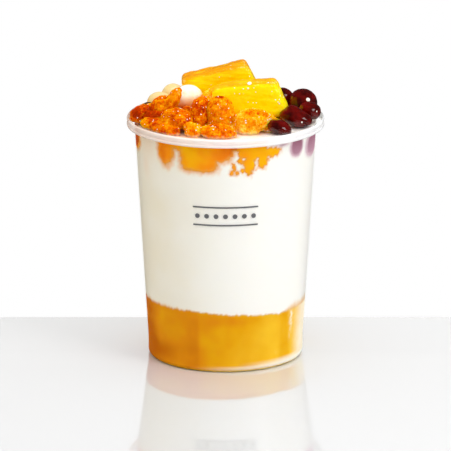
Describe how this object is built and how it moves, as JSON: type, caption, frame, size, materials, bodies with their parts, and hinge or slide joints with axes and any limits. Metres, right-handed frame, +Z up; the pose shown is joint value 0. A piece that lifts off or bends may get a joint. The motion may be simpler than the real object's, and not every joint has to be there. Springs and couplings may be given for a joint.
{
  "type": "peach gum and tapioca dessert in a clear takeaway cup",
  "caption": "Clear plastic takeaway cup with amber jelly, milk and a heaped topping of peach gum, mango, rice balls and tapioca pearls.",
  "frame": {"origin": "on the surface it stands on, under the middle of the cup's foot", "axes": "+Z up along the cup's axis, -Y towards the front, +X to the front's right"},
  "size_m": [0.09, 0.09, 0.133],
  "materials": {
    "clear_cup": "clear injection-moulded polypropylene, slightly hazy, glossy",
    "amber_jelly": "translucent amber jelly",
    "milk": "opaque white milk",
    "mango": "wet, fibrous ripe mango",
    "rice_ball": "smooth, slightly sticky cream dough",
    "tapioca": "glossy dark red-brown, translucent at the edges",
    "peach_gum": "wet translucent amber-orange gum, granular",
    "dark_gum": "wet translucent red-brown gum, granular"
  },
  "bodies": {
    "root": {"cup": "clear_cup", "amber_jelly": "amber_jelly", "mango_1": "mango", "mango_2": "mango", "rice_ball_1": "rice_ball", "rice_ball_2": "rice_ball", "rice_ball_3": "rice_ball", "rice_ball_4": "rice_ball", "gum_bed": "peach_gum", "pearl_1": "tapioca", "pearl_2": "tapioca", "pearl_3": "tapioca", "pearl_4": "tapioca", "pearl_5": "tapioca", "pearl_6": "tapioca", "pearl_7": "tapioca", "pearl_8": "tapioca", "pearl_9": "tapioca", "pearl_10": "tapioca", "pearl_11": "tapioca", "pearl_wall_1": "tapioca", "pearl_wall_2": "tapioca", "gum_1": "dark_gum", "gum_2": "dark_gum", "gum_3": "peach_gum", "gum_4": "peach_gum", "gum_5": "peach_gum", "gum_6": "dark_gum", "gum_7": "dark_gum", "gum_8": "peach_gum", "gum_9": "peach_gum", "gum_10": "dark_gum", "gum_11": "peach_gum", "gum_12": "peach_gum", "gum_13": "peach_gum", "gum_14": "dark_gum", "gum_15": "peach_gum", "gum_16": "peach_gum", "gum_17": "peach_gum", "gum_18": "peach_gum", "gum_19": "peach_gum", "gum_20": "peach_gum", "gum_wall_1": "peach_gum", "gum_wall_2": "peach_gum", "gum_wall_3": "peach_gum", "milk": "milk"}
  },
  "joints": []
}
